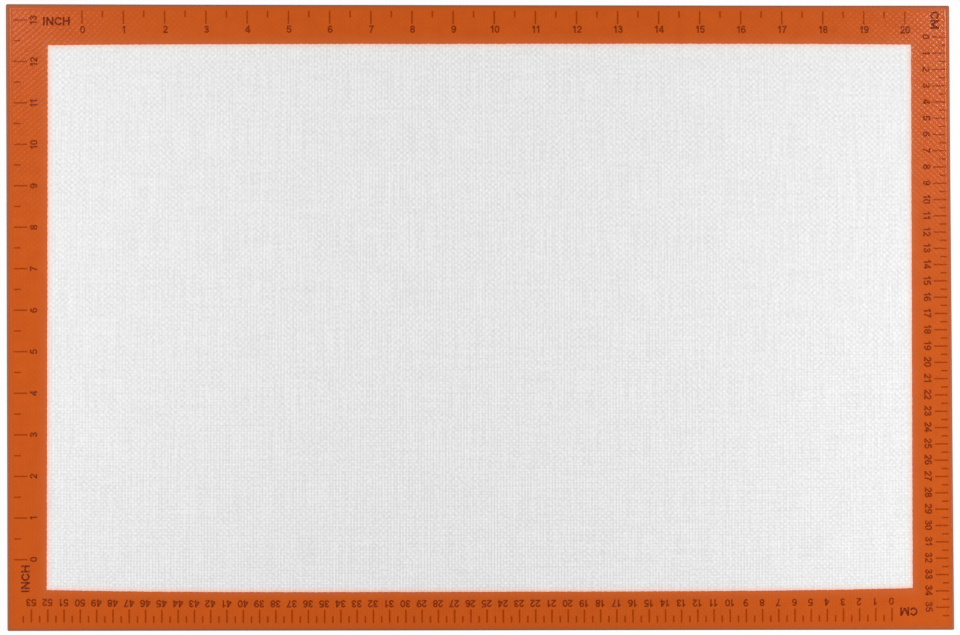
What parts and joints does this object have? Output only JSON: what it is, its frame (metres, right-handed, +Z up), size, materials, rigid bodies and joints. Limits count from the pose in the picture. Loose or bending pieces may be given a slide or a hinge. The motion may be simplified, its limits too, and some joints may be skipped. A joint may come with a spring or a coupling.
{
  "type": "baking mat",
  "caption": "Thin rectangular silicone baking mat on a woven glass cloth, with a pale baking face, a coloured border and printed inch and centimetre scales.",
  "frame": {"origin": "centre of the mat's outline, on the plane that it lies on", "axes": "+X along the long sides, +Y towards the long side with the inch scale, +Z up out of the printed face"},
  "size_m": [0.583, 0.385, 0.0008],
  "materials": {
    "white_silicone": "satin, translucent white, with the weave of the cloth showing through",
    "border_silicone": "satin, pigmented burnt orange",
    "glass_cloth": "plain-woven glass yarn"
  },
  "bodies": {
    "root": {"lower_border_band": "border_silicone", "lower_silicone_coat": "white_silicone", "glass_cloth_core": "glass_cloth", "upper_silicone_coat": "white_silicone", "upper_border_band": "border_silicone", "edge_seal": "border_silicone"}
  },
  "joints": []
}
